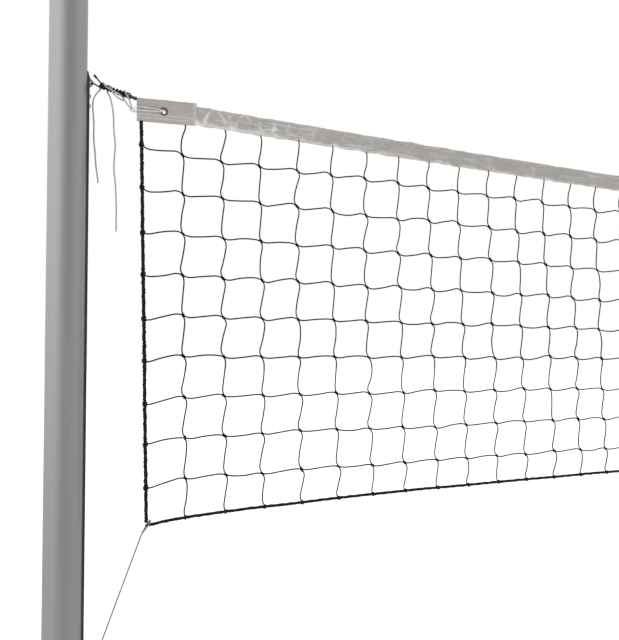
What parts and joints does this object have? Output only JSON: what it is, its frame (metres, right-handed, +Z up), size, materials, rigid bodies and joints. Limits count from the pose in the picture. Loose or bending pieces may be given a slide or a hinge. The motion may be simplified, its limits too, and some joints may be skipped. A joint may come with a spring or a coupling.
{
  "type": "volleyball net on poles",
  "caption": "Square-mesh volleyball net with head tape, tied to round sleeve-mounted poles by rails that slide for height, with a cable, pulley and hand winch.",
  "frame": {"origin": "centre of the left pole at floor level, at the top of the length that stands in its floor sleeve", "axes": "+X along the net to the right pole, +Z up the poles, +Y across the net, away from the side that is seen first"},
  "size_m": [9.931, 0.1875, 2.92],
  "materials": {
    "post_aluminium": "satin anodised tube",
    "black_plastic": "moulded",
    "rail_black": "dark anodised bar",
    "zinc_steel": "zinc plated",
    "knob_plastic": "moulded, fine grain",
    "patch_canvas": "woven canvas, warm light grey",
    "grommet_steel": "dull dark metal",
    "rope_black": "twisted rope",
    "tie_cord_light": "braided cord",
    "tie_cord_grey": "braided cord",
    "tape_canvas": "wrinkled canvas tape",
    "net_cord_black": "knotted thread",
    "cable_coated": "grey coated wire cable",
    "lashing_black": "braided cord",
    "clamp_metal": "blackened sleeve",
    "pulley_nylon": "turned nylon",
    "bracket_paint": "satin paint",
    "drum_steel": "zinc plated"
  },
  "bodies": {
    "posts": {"left_post": "post_aluminium", "left_post_cap": "black_plastic", "left_foot_plug": "black_plastic", "right_post": "post_aluminium", "right_post_cap": "black_plastic", "right_foot_plug": "black_plastic"},
    "left_knob": {"left_clamp_knob": "knob_plastic"},
    "right_knob": {"right_clamp_knob": "knob_plastic"},
    "winch": {"winch_drum": "drum_steel", "cable_turns": "cable_coated", "winch_crank": "drum_steel", "grip_pin": "zinc_steel"},
    "grip": {"crank_grip": "knob_plastic"},
    "pulley": {"head_pulley": "pulley_nylon"},
    "net_carriage": {"bottom_rope": "rope_black", "cable_terminal": "zinc_steel", "head_cable": "cable_coated", "head_tape": "tape_canvas", "lashing_line": "lashing_black", "left_bottom_tie": "tie_cord_grey", "left_end_patch": "patch_canvas", "left_grommet": "grommet_steel", "left_grommet_tie": "tie_cord_light", "left_hook_lug": "zinc_steel", "left_long_tail": "tie_cord_light", "left_rail": "rail_black", "left_rail_nuts": "zinc_steel", "left_rail_screws": "zinc_steel", "left_rail_staples": "zinc_steel", "left_short_tail": "tie_cord_light", "left_side_rope": "rope_black", "left_tie_knots": "tie_cord_light", "left_tie_peg": "zinc_steel", "line_clamp": "clamp_metal", "line_end_cap": "knob_plastic", "netting_columns": "net_cord_black", "netting_rows": "net_cord_black", "pulley_bracket": "bracket_paint", "pulley_pin": "zinc_steel", "right_bottom_tie": "tie_cord_grey", "right_end_patch": "patch_canvas", "right_grommet": "grommet_steel", "right_grommet_tie": "tie_cord_light", "right_rail": "rail_black", "right_rail_nuts": "zinc_steel", "right_rail_screws": "zinc_steel", "right_side_rope": "rope_black", "right_tie_knots": "tie_cord_light", "right_tie_peg": "zinc_steel", "right_top_tie": "tie_cord_light", "winch_frame": "bracket_paint"}
  },
  "joints": [
    {"name": "net_height", "type": "slide", "parent": "posts", "child": "net_carriage", "axis": [0, 0, 1], "range_m": [-0.24, 0.19]},
    {"name": "left_knob_turn", "type": "hinge", "parent": "net_carriage", "child": "left_knob", "pos_m": [0.05, 0, 0.7], "axis": [1, 0, 0], "range_deg": [0, 540]},
    {"name": "right_knob_turn", "type": "hinge", "parent": "net_carriage", "child": "right_knob", "pos_m": [9.792, 0, 0.7], "axis": [-1, 0, 0], "range_deg": [0, 540]},
    {"name": "winch_turn", "type": "hinge", "parent": "net_carriage", "child": "winch", "pos_m": [9.7705, 0, 1.09], "axis": [0, 1, 0], "continuous": true},
    {"name": "grip_spin", "type": "hinge", "parent": "winch", "child": "grip", "pos_m": [9.7705, 0, 0.96], "axis": [0, 1, 0], "continuous": true},
    {"name": "pulley_spin", "type": "hinge", "parent": "net_carriage", "child": "pulley", "pos_m": [9.767, 0, 2.23529], "axis": [0, 1, 0], "continuous": true}
  ],
  "couplings": [
    {"joint": "pulley_spin", "follows": "winch_turn", "ratio": 0.8333}
  ]
}
